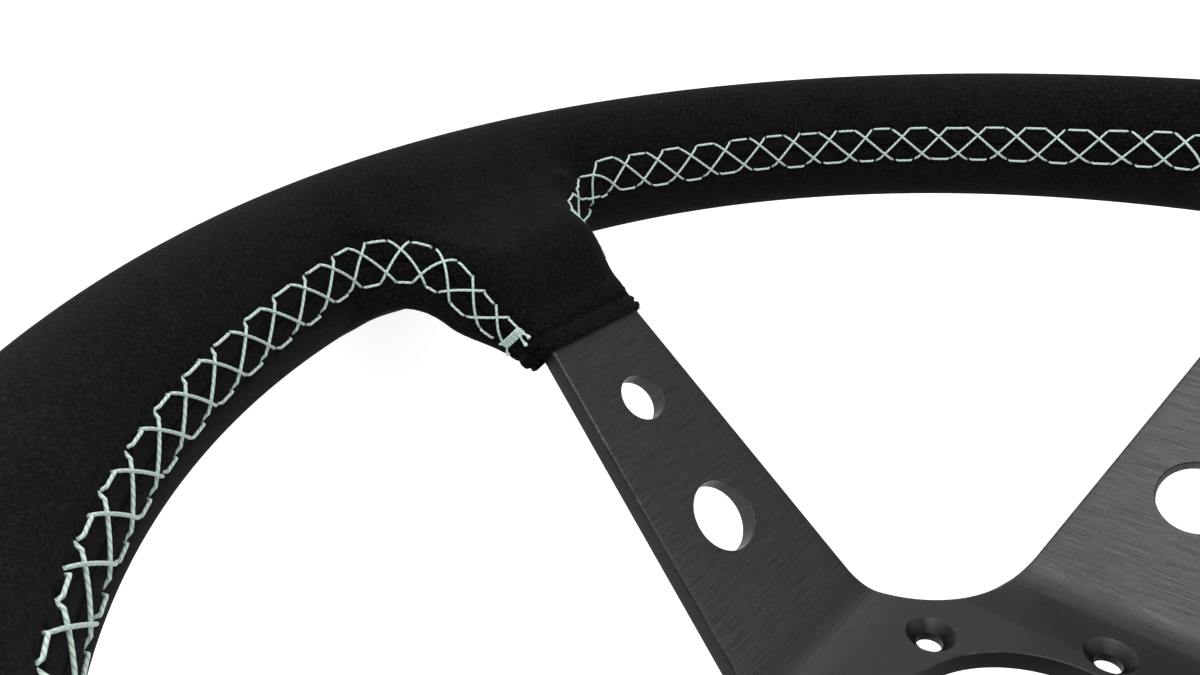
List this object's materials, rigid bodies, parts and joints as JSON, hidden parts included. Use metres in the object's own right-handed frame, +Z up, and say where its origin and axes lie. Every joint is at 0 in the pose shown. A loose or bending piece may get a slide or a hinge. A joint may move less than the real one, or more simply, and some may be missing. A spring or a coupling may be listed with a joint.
{
  "type": "steering wheel",
  "caption": "Round deep-dish racing steering wheel with bent brushed spokes, a bolt-on boss with an open centre, and a suede grip with cross-stitched seams.",
  "frame": {"origin": "on the wheel's axis at the mounting face, the back of the boss", "axes": "+Y along the wheel's axis, from the driver towards the column; +Z up to the top of the wheel; the driver looks along +Y"},
  "size_m": [0.3346, 0.0984, 0.3363],
  "materials": {
    "brushed_aluminium": "brushed across each spoke, dark grey anodised",
    "raw_aluminium": "mill finish, hidden inside the grip",
    "grip_foam": "moulded polyurethane, hidden",
    "black_suede": "napped suede, matt",
    "mint_thread": "waxed polyester thread"
  },
  "bodies": {
    "root": {"spoke_plate": "brushed_aluminium", "rim_core_ring": "raw_aluminium", "rivet_bottom_1": "raw_aluminium", "rivet_bottom_2": "raw_aluminium", "rivet_left_1": "raw_aluminium", "rivet_left_2": "raw_aluminium", "rivet_right_1": "raw_aluminium", "rivet_right_2": "raw_aluminium", "foam_grip": "grip_foam", "suede_panel_lower": "black_suede", "suede_panel_upper_left": "black_suede", "suede_panel_upper_right": "black_suede", "seam_thread_lower_left": "mint_thread", "seam_thread_lower_right": "mint_thread", "seam_thread_top": "mint_thread", "butt_seam_thread_1": "mint_thread", "butt_seam_thread_2": "mint_thread", "butt_seam_thread_3": "mint_thread"}
  },
  "joints": []
}
